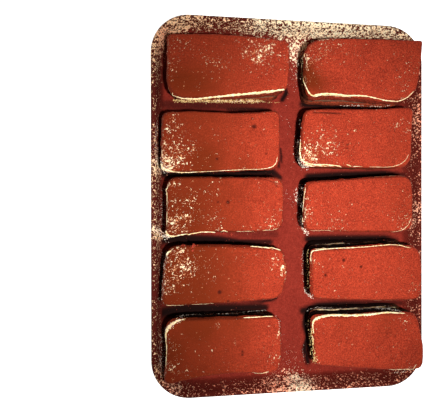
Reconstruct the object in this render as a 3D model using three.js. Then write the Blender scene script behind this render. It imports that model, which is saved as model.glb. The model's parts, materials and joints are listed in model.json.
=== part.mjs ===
// Tiramisu served as ten portions, in two columns of five, on one shallow rectangular tray.
// Each portion is a stack of four layers: a soaked biscuit, a thin cream, a second biscuit and a
// thick cream under cocoa. Millimetres, +Z up, +X across the tray, +Y along it, with the origin
// under the middle of the tray.
import * as THREE from 'three';

// The tray: a dish with a rolled lip, sloping walls and a foot ring.
const TRAY_WIDTH = 258;
const TRAY_LENGTH = 344;
const TRAY_CORNER = 35;
const RIM_HEIGHT = 22;
const FLOOR_HEIGHT = 4;
const FOOT_RECESS = 1.2;
const CORNER_TIGHTENING = 0.75;
const ARC_STEPS = 5;

// The layers of a portion, from the tray's floor up, as shares of its height.
// bulge is how far a layer's side swells out at its middle; the thin cream is too low to swell.
const LAYERS = [
  { name: 'base_biscuit', share: 0.28, bulge: 0.7, finish: 'biscuit' },
  { name: 'lower_cream', share: 0.11, bulge: 0, finish: 'cream' },
  { name: 'upper_biscuit', share: 0.33, bulge: 0.7, finish: 'biscuit' },
  { name: 'top_cream', share: 0.28, bulge: 0.9, finish: 'cocoa' },
];
const SWELL_HEIGHT = 0.45;

// How a portion's foot differs from its top, which was spread softer and wider. The side leans
// out between the overhang's start and end, as shares of the height. A portion may have its own
// inset at a side (footInset) or its own squareness.
const FOOT_INSET = { west: 6, east: 3, north: 2, south: 1.5 };
const FOOT_SQUARENESS = 0.6;
const FOOT_CORNER = 9;
const FLOOR_LIMIT = 113.5;
const OVERHANG_START = -0.25;
const OVERHANG_END = 0.95;
const CREASE = 0.5;
const SIDE_UNEVENNESS = 0.5;
const LAYER_WAVE = 0.5;
const TOP_UNEVENNESS = 0.5;
const LIP_UNEVENNESS = 0.2;

// The rounding of the top, as steps inwards from the side and down from the flat of the top.
const ROUND_OVER = [
  { inset: 0, drop: 3.2 },
  { inset: 0.5, drop: 1.3 },
  { inset: 1.8, drop: 0.4 },
  { inset: 10, drop: 0 },
];
const CROWN = 0.8;

const CORNER_STEPS = 4;
const LONG_STEPS = 5;
const SHORT_STEPS = 3;

// The ten tops as they lie, with each corner as [x, y]. pull is how far each side swells outwards
// (or, if negative, dips in) at its third points: the long sides from west to east, the short
// sides from north to south. round is each corner's rounding.
const PORTIONS = [
  {
    name: 'left_1', tall: 36.5,
    nw: [-114, 147.5], ne: [-7, 146], se: [-9, 104], sw: [-114.5, 91],
    pull: { north: [2.5, 3.2], south: [3, 2], west: [0, 0], east: [1, 1] },
    round: { nw: 5, ne: 6, se: 4, sw: 19 },
    footInset: { south: 1 }, footSquareness: 0.8,
  },
  {
    name: 'left_2', tall: 37,
    nw: [-119, 80.5], ne: [-16.5, 84], se: [-17, 33], sw: [-119.5, 29],
    pull: { north: [2, -5], south: [0, 0.5], west: [0.5, 0.5], east: [0.5, 0.5] },
    round: { nw: 8, ne: 6, se: 9, sw: 10 },
  },
  {
    name: 'left_3', tall: 36,
    nw: [-115, 25], ne: [-13, 25.5], se: [-14, -20.5], sw: [-115.5, -25.5],
    pull: { north: [1, -1], south: [-4, 1], west: [0, 0], east: [0.5, 0.5] },
    round: { nw: 10, ne: 10, se: 8, sw: 6 },
  },
  {
    name: 'left_4', tall: 37.5,
    nw: [-115, -32.5], ne: [-12.5, -38], se: [-13, -80.5], sw: [-119.5, -84.5],
    pull: { north: [1, 2.5], south: [0, 2], west: [1, 1], east: [4, 4] },
    round: { nw: 14, ne: 8, se: 12, sw: 6 },
  },
  {
    name: 'left_5', tall: 36.5,
    nw: [-115.5, -96.5], ne: [-15.5, -97.5], se: [-15.5, -146], sw: [-117.5, -151.5],
    pull: { north: [0, 0.5], south: [-5, -5.5], west: [-1, -1], east: [0.5, 0.5] },
    round: { nw: 10, ne: 6, se: 12, sw: 6 },
  },
  {
    name: 'right_1', tall: 37,
    nw: [3.5, 149], ne: [119, 152.5], se: [112, 96.5], sw: [9.5, 98.5],
    pull: { north: [0.8, 0.3], south: [-7, 2], west: [2, 1.5], east: [0, -0.5] },
    round: { nw: 25, ne: 3, se: 20, sw: 4 },
    footInset: { south: 0 },
  },
  {
    name: 'right_2', tall: 36,
    nw: [6, 86], ne: [109.5, 91], se: [107, 35], sw: [3, 36.5],
    pull: { north: [0, -2.2], south: [0, 1], west: [1, 1.5], east: [0, 0] },
    round: { nw: 9, ne: 6, se: 13, sw: 9 },
  },
  {
    name: 'right_3', tall: 36.5,
    nw: [7.5, 21.5], ne: [108.5, 28], se: [108.5, -23.5], sw: [5.5, -21.5],
    pull: { north: [0.3, 0.5], south: [0, 0.5], west: [0.5, 0.5], east: [0.8, 0.8] },
    round: { nw: 7, ne: 11, se: 12, sw: 9 },
    footInset: { north: -5 },
  },
  {
    name: 'right_4', tall: 37.5,
    nw: [12, -39], ne: [115.5, -36.5], se: [117, -86], sw: [12.5, -82],
    pull: { north: [-0.5, 4], south: [0.5, 1], west: [0, 0], east: [0.5, 0.5] },
    round: { nw: 5, ne: 11, se: 9, sw: 7 },
    footInset: { north: -6 },
  },
  {
    name: 'right_5', tall: 37,
    nw: [12.5, -98], ne: [113.5, -98.5], se: [120.5, -150.5], sw: [16, -141.5],
    pull: { north: [-3, 3.5], south: [0.5, 2.5], west: [-0.5, -0.5], east: [0.5, 2.5] },
    round: { nw: 6, ne: 9, se: 11, sw: 5 },
    footInset: { north: -2.7 },
  },
];

const FINISHES = {
  tray: new THREE.MeshStandardMaterial({ color: 0xe9e2d2, roughness: 0.25, metalness: 0 }),
  biscuit: new THREE.MeshStandardMaterial({ color: 0x4a2314, roughness: 0.9, metalness: 0 }),
  cream: new THREE.MeshStandardMaterial({ color: 0xf6e6bd, roughness: 0.6, metalness: 0 }),
  cocoa: new THREE.MeshStandardMaterial({ color: 0xa8402a, roughness: 1, metalness: 0 }),
};

// A repeatable run of numbers from 0 to 1.
function seededRandom(seed) {
  let state = seed;
  return () => {
    state = (state * 1664525 + 1013904223) % 4294967296;
    return state / 4294967296;
  };
}

// A smooth wave round a closed outline, from -1 to 1, that joins up with itself.
function closedWave(random) {
  const parts = [2, 3, 5, 7].map((turns) => ({ turns, phase: random() * 2 * Math.PI }));
  return (share) => {
    const sum = parts.reduce((total, p) => total + Math.sin(p.turns * 2 * Math.PI * share + p.phase), 0);
    return sum / parts.length;
  };
}

// Skins a stack of equal rings, with a fan over each end, into one closed body. The rings run
// anticlockwise seen from above, and the stack may fold back down into itself, as a dish does.
function skin(name, rings, ends, finish) {
  const count = rings[0].length;
  const points = [...rings.flat(), ...ends];
  const index = [];
  for (let level = 0; level + 1 < rings.length; level += 1) {
    for (let i = 0; i < count; i += 1) {
      const next = (i + 1) % count;
      const [low, lowNext] = [level * count + i, level * count + next];
      const [high, highNext] = [low + count, lowNext + count];
      index.push(low, lowNext, highNext, low, highNext, high);
    }
  }
  const [first, last] = [rings.length * count, rings.length * count + 1];
  for (let i = 0; i < count; i += 1) {
    const next = (i + 1) % count;
    const top = (rings.length - 1) * count;
    index.push(first, next, i, last, top + i, top + next);
  }
  const geometry = new THREE.BufferGeometry().setFromPoints(points);
  geometry.setIndex(index);
  geometry.computeVertexNormals();
  const mesh = new THREE.Mesh(geometry, finish);
  mesh.name = name;
  return mesh;
}

// A level rectangle with round corners, anticlockwise from its south-east corner.
function roundedRectangle(width, length, radius, z) {
  const ring = [];
  const [x, y] = [width / 2 - radius, length / 2 - radius];
  [[x, -y], [x, y], [-x, y], [-x, -y]].forEach(([cx, cy], quarter) => {
    for (let step = 0; step <= ARC_STEPS; step += 1) {
      const angle = (Math.PI / 2) * (quarter - 1 + step / ARC_STEPS);
      ring.push(new THREE.Vector3(cx + radius * Math.cos(angle), cy + radius * Math.sin(angle), z));
    }
  });
  return ring;
}

// The tray's section, walked from under its middle, out over the lip and back down to its floor:
// inset is how far each ring lies inside the lip's outer edge.
function makeTray() {
  const section = [
    { inset: 25, z: FOOT_RECESS },
    { inset: 24, z: 0 },
    { inset: 17, z: 0 },
    { inset: 14, z: 1 },
    { inset: 9.5, z: FLOOR_HEIGHT },
    { inset: 6, z: 10 },
    { inset: 3.2, z: RIM_HEIGHT - 4 },
    { inset: 0.5, z: RIM_HEIGHT - 2.8 },
    { inset: 0, z: RIM_HEIGHT - 1.4 },
    { inset: 1.2, z: RIM_HEIGHT - 0.2 },
    { inset: 2.6, z: RIM_HEIGHT },
    { inset: 4.2, z: RIM_HEIGHT - 0.9 },
    { inset: 7.4, z: 13 },
    { inset: 9.8, z: 7 },
    { inset: 11.2, z: FLOOR_HEIGHT + 0.8 },
    { inset: 13, z: FLOOR_HEIGHT },
  ];
  const rings = section.map((s) => (
    roundedRectangle(
      TRAY_WIDTH - 2 * s.inset,
      TRAY_LENGTH - 2 * s.inset,
      TRAY_CORNER - s.inset * CORNER_TIGHTENING,
      s.z,
    )
  ));
  const ends = [FOOT_RECESS, FLOOR_HEIGHT].map((z) => new THREE.Vector3(0, 0, z));
  return skin('tray', rings, ends, FINISHES.tray);
}

// One side of a portion between two rounded corners, then the corner that follows it.
function sideAndCorner(here, there, after, roundHere, roundThere, pull, steps) {
  const along = there.clone().sub(here).normalize();
  const outward = new THREE.Vector2(along.y, -along.x);
  const turn = after.clone().sub(there).normalize();
  const start = here.clone().addScaledVector(along, roundHere);
  const end = there.clone().addScaledVector(along, -roundThere);
  const swell = (share, amount) => start.clone().lerp(end, share).addScaledVector(outward, amount);
  const side = new THREE.CubicBezierCurve(start, swell(1 / 3, pull[0]), swell(2 / 3, pull[1]), end);
  const next = there.clone().addScaledVector(turn, roundThere);
  const corner = new THREE.QuadraticBezierCurve(end, there, next);
  return [...side.getPoints(steps).slice(0, -1), ...corner.getPoints(CORNER_STEPS).slice(0, -1)];
}

// A portion's outline, anticlockwise from its south-west corner.
function outline(corners, round, pull) {
  const [sw, se, ne, nw] = corners;
  return [
    ...sideAndCorner(sw, se, ne, round.sw, round.se, pull.south, LONG_STEPS),
    ...sideAndCorner(se, ne, nw, round.se, round.ne, [...pull.east].reverse(), SHORT_STEPS),
    ...sideAndCorner(ne, nw, sw, round.ne, round.nw, [...pull.north].reverse(), LONG_STEPS),
    ...sideAndCorner(nw, sw, se, round.nw, round.sw, pull.west, SHORT_STEPS),
  ];
}

// The foot's corners: the top's corners, squared up and drawn in.
function footCorners(portion) {
  const inset = { ...FOOT_INSET, ...portion.footInset };
  const squareness = portion.footSquareness ?? FOOT_SQUARENESS;
  const middle = (a, b, axis) => (portion[a][axis] + portion[b][axis]) / 2;
  const squared = (corner, end, side) => {
    const [ax, bx] = end === 'west' ? ['nw', 'sw'] : ['ne', 'se'];
    const [ay, by] = side === 'north' ? ['nw', 'ne'] : ['sw', 'se'];
    const x = THREE.MathUtils.lerp(portion[corner][0], middle(ax, bx, 0), squareness);
    const y = THREE.MathUtils.lerp(portion[corner][1], middle(ay, by, 1), squareness);
    const drawnX = x + (end === 'west' ? inset.west : -inset.east);
    const drawnY = y + (side === 'north' ? -inset.north : inset.south);
    return new THREE.Vector2(THREE.MathUtils.clamp(drawnX, -FLOOR_LIMIT, FLOOR_LIMIT), drawnY);
  };
  return [
    squared('sw', 'west', 'south'),
    squared('se', 'east', 'south'),
    squared('ne', 'east', 'north'),
    squared('nw', 'west', 'north'),
  ];
}

// Makes the four layers of one portion. Neighbouring layers share the ring where they meet.
function makePortion(portion, seed) {
  const random = seededRandom(seed);
  const corners = ['sw', 'se', 'ne', 'nw'].map((key) => new THREE.Vector2(...portion[key]));
  const top = outline(corners, portion.round, portion.pull);
  const level = { north: [0, 0], south: [0, 0], west: [0, 0], east: [0, 0] };
  const evenRound = { nw: FOOT_CORNER, ne: FOOT_CORNER, se: FOOT_CORNER, sw: FOOT_CORNER };
  const foot = outline(footCorners(portion), evenRound, level);
  const centre = corners.reduce((sum, c) => sum.add(c), new THREE.Vector2()).divideScalar(4);
  const halfLength = (corners[1].x - corners[0].x) / 2;
  const halfWidth = (corners[3].y - corners[0].y + corners[2].y - corners[1].y) / 4;

  // A ring at a share of the height, pushed out by some millimetres. Two waves make it uneven, the
  // first in and out and the second up and down.
  const newWaves = () => [closedWave(random), closedWave(random)];
  const ring = (share, push, wave, roughness, [rough, ripple] = newWaves()) => {
    const spread = THREE.MathUtils.smoothstep(share, OVERHANG_START, OVERHANG_END);
    return foot.map((point, i) => {
      const around = i / foot.length;
      const flat = point.clone().lerp(top[i], spread);
      const out = push + roughness * rough(around);
      flat.sub(centre).multiply(new THREE.Vector2(1 + out / halfLength, 1 + out / halfWidth)).add(centre);
      const z = FLOOR_HEIGHT + portion.tall * share + wave * ripple(around);
      return new THREE.Vector3(flat.x, flat.y, z);
    });
  };
  const middleOf = (points) => (
    points.reduce((sum, p) => sum.add(p), new THREE.Vector3()).divideScalar(points.length)
  );

  let share = 0;
  let lower = ring(0, -CREASE, 0, SIDE_UNEVENNESS);
  return LAYERS.map((layer, number) => {
    const bottom = lower;
    const below = share;
    share += layer.share;
    const middleRing = ring(below + layer.share * SWELL_HEIGHT, layer.bulge, 0, SIDE_UNEVENNESS);
    const name = `${portion.name}_${layer.name}`;
    const floorEnd = number === 0 ? new THREE.Vector3(centre.x, centre.y, FLOOR_HEIGHT) : middleOf(bottom);
    if (number < LAYERS.length - 1) {
      lower = ring(share, -CREASE, LAYER_WAVE, SIDE_UNEVENNESS);
      const rings = layer.bulge ? [bottom, middleRing, lower] : [bottom, lower];
      return skin(name, rings, [floorEnd, middleOf(lower)], FINISHES[layer.finish]);
    }
    const topWaves = newWaves();
    const overRings = ROUND_OVER.map((step) => (
      ring(1, -step.inset, TOP_UNEVENNESS, LIP_UNEVENNESS, topWaves)
        .map((p) => p.setZ(p.z - step.drop))
    ));
    const crest = middleOf(overRings.at(-1));
    crest.z += CROWN;
    return skin(name, [bottom, middleRing, ...overRings], [floorEnd, crest], FINISHES[layer.finish]);
  });
}

const tiramisu = new THREE.Group();
tiramisu.add(makeTray());
PORTIONS.forEach((portion, number) => {
  tiramisu.add(...makePortion(portion, number + 1));
});

export default tiramisu;
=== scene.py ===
import json
import math

import bmesh
import bpy
import numpy as np
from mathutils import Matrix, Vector
from mathutils.bvhtree import BVHTree

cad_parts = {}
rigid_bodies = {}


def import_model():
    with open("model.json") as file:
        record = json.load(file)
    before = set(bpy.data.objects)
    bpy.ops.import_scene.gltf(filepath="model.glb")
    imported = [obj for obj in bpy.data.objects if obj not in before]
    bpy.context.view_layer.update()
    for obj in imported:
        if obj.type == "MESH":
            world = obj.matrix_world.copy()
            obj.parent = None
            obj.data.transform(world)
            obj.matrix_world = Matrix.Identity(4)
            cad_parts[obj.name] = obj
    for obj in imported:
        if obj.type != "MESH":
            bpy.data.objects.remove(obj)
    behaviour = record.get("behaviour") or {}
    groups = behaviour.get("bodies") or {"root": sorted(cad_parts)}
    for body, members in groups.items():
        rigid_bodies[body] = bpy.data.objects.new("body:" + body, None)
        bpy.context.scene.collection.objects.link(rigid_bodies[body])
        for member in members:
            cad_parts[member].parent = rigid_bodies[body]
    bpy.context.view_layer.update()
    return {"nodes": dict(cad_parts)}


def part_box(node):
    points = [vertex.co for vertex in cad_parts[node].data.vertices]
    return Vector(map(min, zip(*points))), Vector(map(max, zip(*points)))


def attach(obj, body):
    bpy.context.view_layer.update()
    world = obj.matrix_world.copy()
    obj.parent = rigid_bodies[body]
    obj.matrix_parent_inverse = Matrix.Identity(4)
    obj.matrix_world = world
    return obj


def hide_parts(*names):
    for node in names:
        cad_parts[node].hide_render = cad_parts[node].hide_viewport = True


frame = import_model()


# The camera looks almost straight down on the tray from above its left edge, tipped a little
# to the right, as the photograph does. Its place was worked out from the tray's four rim lines.
MM = 0.001
CAMERA_PLACE = Vector((-0.118, 0.001, 0.408))
CAMERA_TILT = (-0.0024, -0.1315, -0.0014)
FOCAL_PIXELS = 431.5
IMAGE_WIDTH, IMAGE_HEIGHT = 441, 413
SENSOR_WIDTH = 36.0
NEAREST_VIEW = 0.01

camera_data = bpy.data.cameras.new("camera")
camera_data.sensor_width = SENSOR_WIDTH
camera_data.lens = FOCAL_PIXELS * SENSOR_WIDTH / IMAGE_WIDTH
camera_data.clip_start = NEAREST_VIEW
camera = bpy.data.objects.new("camera", camera_data)
camera.location = CAMERA_PLACE
camera.rotation_euler = CAMERA_TILT
bpy.context.scene.collection.objects.link(camera)
bpy.context.scene.camera = camera
CAMERA_TURN = camera.rotation_euler.to_matrix()


def seen_at(pixel_x, pixel_y, height):
    """The place in millimetres, at a height in millimetres, that the photograph shows at a pixel."""
    across = (pixel_x - IMAGE_WIDTH / 2) / FOCAL_PIXELS
    up = (IMAGE_HEIGHT / 2 - pixel_y) / FOCAL_PIXELS
    ray = CAMERA_TURN @ Vector((across, up, -1))
    place = CAMERA_PLACE + ray * ((height * MM - CAMERA_PLACE.z) / ray.z)
    return np.array(place) / MM


# The tray is one shallow dish of glazed ceramic, white under its cocoa. It is slip cast with a
# rolled lip, sloping walls and a foot ring. Cocoa was sifted on it from above, thinly on the rim,
# so its outside is bare.
TRAY_CORNER = 35.0
CORNER_TIGHTENING = 0.75
TRAY_RIM = 22.0
TRAY_FLOOR = 4.0
TRAY_SECTION = [
    (25, 1.2), (24.2, 0.2), (23.6, 0), (17.4, 0), (16.6, 0.2), (14, 1), (11.6, 2.2), (9.5, 4),
    (7.6, 7), (6, 10), (4.4, 14), (3.2, 17.6), (2.3, 18.5), (1.2, 18.9), (0.45, 19.3), (0.1, 20),
    (0, 20.7), (0.25, 21.3), (0.8, 21.7), (1.6, 21.95), (2.6, 22), (3.5, 21.7), (4.2, 21.1),
    (5, 19.4), (6.2, 16.2), (7.4, 13), (8.6, 9.8), (9.8, 7), (10.5, 5.7), (11.2, 4.8), (12, 4.3),
    (13, 4),
]
UNDERSIDE_INSET = 26
FLOOR_INSET = 15.5
TRAY_STEP = 2.2
TRAY_ARC_STEPS = 16
TRAY_WELD = 0.05
GLAZE_LIGHT = (1.0, 0.91, 0.62, 1)
GLAZE_GOLDEN = (1.0, 0.58, 0.31, 1)
GLAZE_PINK = (1.0, 0.33, 0.19, 1)
GLAZE_CLEAN = (0.60, 0.53, 0.42, 1)
TRAY_COCOA_LIGHT = (0.25, 0.0262, 0.0150, 1)
TRAY_COCOA_DARK = (0.155, 0.0130, 0.0072, 1)
# The tray's darkest cocoa: painted shadows in the gaps, painted shade round specks, and the partly painted
# shade of the wall and rim.
TRAY_COCOA_SHADE_DAMP = (0.008, 0.0018, 0.0013, 1)


def mesh_piece(name, points, faces):
    """A smooth-shaded object of its own mesh, from places in millimetres."""
    mesh = bpy.data.meshes.new(name)
    mesh.from_pydata([tuple(p) for p in np.asarray(points) * MM], [], faces)
    mesh.shade_smooth()
    piece = bpy.data.objects.new(name, mesh)
    bpy.context.scene.collection.objects.link(piece)
    return piece


def places(piece):
    """The piece's vertices in millimetres."""
    values = np.empty(len(piece.data.vertices) * 3)
    piece.data.vertices.foreach_get("co", values)
    return values.reshape(-1, 3) / MM


def set_places(piece, points):
    piece.data.vertices.foreach_set("co", (points * MM).ravel())
    piece.data.update()


def normals(piece):
    values = np.empty(len(piece.data.vertices) * 3)
    piece.data.vertex_normals.foreach_get("vector", values)
    return values.reshape(-1, 3)


def set_attribute(piece, name, values):
    """Gives each vertex a number that the piece's material reads."""
    attribute = piece.data.attributes.new(name, "FLOAT", "POINT")
    attribute.data.foreach_set("value", np.asarray(values, np.float32))


def rounded_ring(inset, height, side_steps):
    """A level ring of the tray, anticlockwise, the given distance inside the lip's outer edge."""
    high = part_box("tray")[1]
    radius = max(TRAY_CORNER - inset * CORNER_TIGHTENING, 0.01)
    reach_x = max(high.x / MM - inset - radius, 0)
    reach_y = max(high.y / MM - inset - radius, 0)
    ring = []
    signs = [(1, -1), (1, 1), (-1, 1), (-1, -1)]
    for quarter, (sign_x, sign_y) in enumerate(signs):
        centre = np.array([sign_x * reach_x, sign_y * reach_y])
        for step in range(TRAY_ARC_STEPS + 1):
            angle = math.pi / 2 * (quarter - 1 + step / TRAY_ARC_STEPS)
            ring.append(centre + radius * np.array([math.cos(angle), math.sin(angle)]))
        next_signs = signs[(quarter + 1) % 4]
        last = ring[-1]
        next_centre = np.array([next_signs[0] * reach_x, next_signs[1] * reach_y])
        first = next_centre + radius * np.array([math.cos(angle), math.sin(angle)])
        count = side_steps[quarter % 2]
        ring += [last + (first - last) * step / count for step in range(1, count)]
    return [(x, y, height) for x, y in ring]


def weld(piece, distance):
    """Joins vertices that lie closer than a distance in millimetres."""
    sheet = bmesh.new()
    sheet.from_mesh(piece.data)
    bmesh.ops.remove_doubles(sheet, verts=sheet.verts, dist=distance * MM)
    bmesh.ops.recalc_face_normals(sheet, faces=sheet.faces)
    sheet.to_mesh(piece.data)
    sheet.free()
    piece.data.shade_smooth()


def join_rings(rings, start=0):
    """The faces of a closed tube through rings of equal counts, from a first vertex number."""
    count = len(rings[0])
    last = start + (len(rings) - 1) * count
    faces = []
    for low in range(start, last, count):
        for i in range(count):
            after = (i + 1) % count
            faces.append((low + i, low + after, low + count + after, low + count + i))
    faces.append(tuple(start + i for i in reversed(range(count))))
    faces.append(tuple(last + i for i in range(count)))
    return faces


def make_tray():
    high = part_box("tray")[1]
    half_width = high.x / MM
    side_steps = (round(2 * high.y / MM / TRAY_STEP), round(2 * half_width / TRAY_STEP))
    underside = TRAY_SECTION[0][1]
    under = [(inset, underside) for inset in np.arange(half_width - 1, UNDERSIDE_INSET, -TRAY_STEP * 2)]
    over = [(inset, TRAY_FLOOR) for inset in np.arange(FLOOR_INSET, half_width, TRAY_STEP)]
    section = under + TRAY_SECTION + over
    rings = [rounded_ring(inset, height, side_steps) for inset, height in section]
    tray = mesh_piece("tray_fine", [point for ring in rings for point in ring], join_rings(rings))
    weld(tray, TRAY_WELD)
    return tray


def add_node(tree, kind, inputs=(), **settings):
    """Adds a node, sets its options, and fills inputs with numbers, colours or other outputs."""
    node = tree.nodes.new(kind)
    for name, value in settings.items():
        setattr(node, name, value)
    for name, value in dict(inputs).items():
        if isinstance(value, bpy.types.NodeSocket):
            tree.links.new(value, node.inputs[name])
        else:
            node.inputs[name].default_value = value
    return node


def calculate(tree, operation, *values):
    return add_node(tree, "ShaderNodeMath", enumerate(values), operation=operation).outputs[0]


def blend_colours(tree, share, first, second):
    """Goes from the first colour to the second by a share, on a mix node's colour sockets."""
    return add_node(tree, "ShaderNodeMix", {0: share, 6: first, 7: second}, data_type="RGBA").outputs[2]


def noise(tree, where, scale, detail, roughness=0.5, distortion=0.0):
    inputs = {"Vector": where, "Scale": scale, "Detail": detail, "Roughness": roughness}
    inputs["Distortion"] = distortion
    return add_node(tree, "ShaderNodeTexNoise", inputs).outputs["Fac"]


def between(tree, value, low, high, out_low=0.0, out_high=1.0):
    """Turns a value from one range smoothly into another."""
    inputs = {"Value": value, "From Min": low, "From Max": high, "To Min": out_low, "To Max": out_high}
    return add_node(tree, "ShaderNodeMapRange", inputs, interpolation_type="SMOOTHSTEP").outputs["Result"]


SOCKETS = {float: "NodeSocketFloat", tuple: "NodeSocketColor"}


def new_group(name, inputs, outputs):
    """A shader node group with named sockets, made for numbers or colours by the values given."""
    group = bpy.data.node_groups.new(name, "ShaderNodeTree")
    for label, value in inputs.items():
        socket = group.interface.new_socket(label, in_out="INPUT", socket_type=SOCKETS[type(value)])
        socket.default_value = value
    for label, kind in outputs.items():
        group.interface.new_socket(label, in_out="OUTPUT", socket_type=SOCKETS[kind])
    return group, group.nodes.new("NodeGroupInput"), group.nodes.new("NodeGroupOutput")


def fill_group(tree, group, inputs):
    return add_node(tree, "ShaderNodeGroup", inputs, node_tree=group)


# The colour of the painted shade in the powder's hollows.
HOLLOW_SHADE = (0.03, 0.006, 0.004, 1)
CLOUD_SCALE = 55.0
PATCH_SHARE, GRAIN_SHARE, CLOUD_SHARE = 0.3, 0.55, 0.15
PATCH_RELIEF = 0.6


def make_powder_group():
    """Sifted cocoa: colour in soft patches, painted shade in its hollows, and the height of its grains."""
    group, given, result = new_group("cocoa powder", {
        "Light": (0.3, 0.04, 0.02, 1), "Dark": (0.2, 0.02, 0.01, 1), "Patch Scale": 380.0,
        "Grain Scale": 900.0, "Hollow Shade": 0.5,
    }, {"Color": tuple, "Height": float})
    where = add_node(group, "ShaderNodeTexCoord").outputs["Object"]
    clouds = noise(group, where, CLOUD_SCALE, 2.0)
    patches = noise(group, where, given.outputs["Patch Scale"], 2.5, 0.6)
    grains = noise(group, where, given.outputs["Grain Scale"], 1.0, 0.6)
    cloud = between(group, clouds, 0.35, 0.65)
    patch = between(group, patches, 0.36, 0.64)
    grain = between(group, grains, 0.34, 0.66)
    share = calculate(group, "MULTIPLY", patch, PATCH_SHARE)
    share = calculate(group, "MULTIPLY_ADD", grain, GRAIN_SHARE, share)
    share = calculate(group, "MULTIPLY_ADD", cloud, CLOUD_SHARE, share)
    colour = blend_colours(group, share, given.outputs["Dark"], given.outputs["Light"])
    # Painted shade: the hollows among the grains, where the relief sinks, are darkened.
    shaded_hollow = calculate(group, "MULTIPLY", between(group, grains, 0.41, 0.33), patch)
    shaded_hollow = calculate(group, "MULTIPLY", shaded_hollow, given.outputs["Hollow Shade"])
    colour = blend_colours(group, shaded_hollow, colour, HOLLOW_SHADE)
    height = calculate(group, "MULTIPLY_ADD", patch, PATCH_RELIEF, grain)
    group.links.new(colour, result.inputs["Color"])
    group.links.new(height, result.inputs["Height"])
    return group


TINGE_SCALE = 560.0
CLUMP_SCALE = 0.24
SPECK_LIMIT = 0.83
SPECK_REACH = 0.33
# The width of the dark ring round each speck: thicker cocoa and painted shade.
SPECK_RIM = 0.07


def make_specks_group():
    """Ragged specks where a layer is thin: next to none at Thinness 0, half of the surface at 1, with a
    dark ring round each for thicker cocoa and painted shade.
    """
    group, given, result = new_group("bare specks", {
        "Thinness": 0.0, "Speck Scale": 560.0, "Softness": 0.03, "Clumping": 0.3, "Scatter": 0.0,
    }, {"Mask": float, "Shade Ring": float, "Tinge": float})
    where = add_node(group, "ShaderNodeTexCoord").outputs["Object"]
    specks = noise(group, where, given.outputs["Speck Scale"], 1.2, 0.5, 1.1)
    grains = add_node(group, "ShaderNodeTexVoronoi", {
        "Vector": where, "Scale": given.outputs["Speck Scale"], "Randomness": 1.0,
    })
    chance = add_node(group, "ShaderNodeSeparateColor", {"Color": grains.outputs["Color"]})
    chance = calculate(group, "SUBTRACT", chance.outputs["Red"], 0.5)
    field = calculate(group, "MULTIPLY_ADD", chance, given.outputs["Scatter"], specks)
    tinges = noise(group, where, TINGE_SCALE, 1.0)
    clump_scale = calculate(group, "MULTIPLY", given.outputs["Speck Scale"], CLUMP_SCALE)
    clumps = noise(group, where, clump_scale, 1.0)
    clump = between(group, clumps, 0.36, 0.64, -1.0, 1.0)
    clump = calculate(group, "MULTIPLY_ADD", clump, given.outputs["Clumping"], 1.0)
    thinness = calculate(group, "MULTIPLY", given.outputs["Thinness"], clump)
    limit = calculate(group, "MULTIPLY_ADD", thinness, -SPECK_REACH, SPECK_LIMIT)
    upper = calculate(group, "ADD", limit, given.outputs["Softness"])
    lower = calculate(group, "SUBTRACT", limit, SPECK_RIM)
    for output, start, end in (("Mask", limit, upper), ("Shade Ring", lower, limit)):
        ramp = add_node(group, "ShaderNodeMapRange", {"Value": field, "From Min": start, "From Max": end})
        group.links.new(ramp.outputs["Result"], result.inputs[output])
    group.links.new(between(group, tinges, 0.36, 0.54), result.inputs["Tinge"])
    return group


COCOA_POWDER = make_powder_group()
BARE_SPECKS = make_specks_group()


def powder(tree, light, dark, patch_scale, grain_scale=900.0, hollow_shade=0.5):
    """The colour and the height of a powdery or crumbly finish, with painted shade in its hollows."""
    node = fill_group(tree, COCOA_POWDER, {
        "Light": light, "Dark": dark, "Patch Scale": patch_scale, "Grain Scale": grain_scale,
        "Hollow Shade": hollow_shade,
    })
    return node.outputs["Color"], node.outputs["Height"]


def new_material(name, settings):
    """A material with one Principled shader, and its node tree."""
    material = bpy.data.materials.new(name)
    material.use_nodes = True
    for socket, value in settings.items():
        material.node_tree.nodes["Principled BSDF"].inputs[socket].default_value = value
    return material, material.node_tree


def join_finish(tree, colour, relief, strength, depth, rough=None):
    """Joins a colour, a relief with its depth in metres, and a roughness to the shader."""
    shader = tree.nodes["Principled BSDF"]
    bump = add_node(tree, "ShaderNodeBump", {"Height": relief, "Strength": strength, "Distance": depth})
    tree.links.new(colour, shader.inputs["Base Color"])
    tree.links.new(bump.outputs["Normal"], shader.inputs["Normal"])
    if rough is not None:
        tree.links.new(rough, shader.inputs["Roughness"])


def vertex_number(tree, name):
    return add_node(tree, "ShaderNodeAttribute", attribute_name=name).outputs["Fac"]


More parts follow.
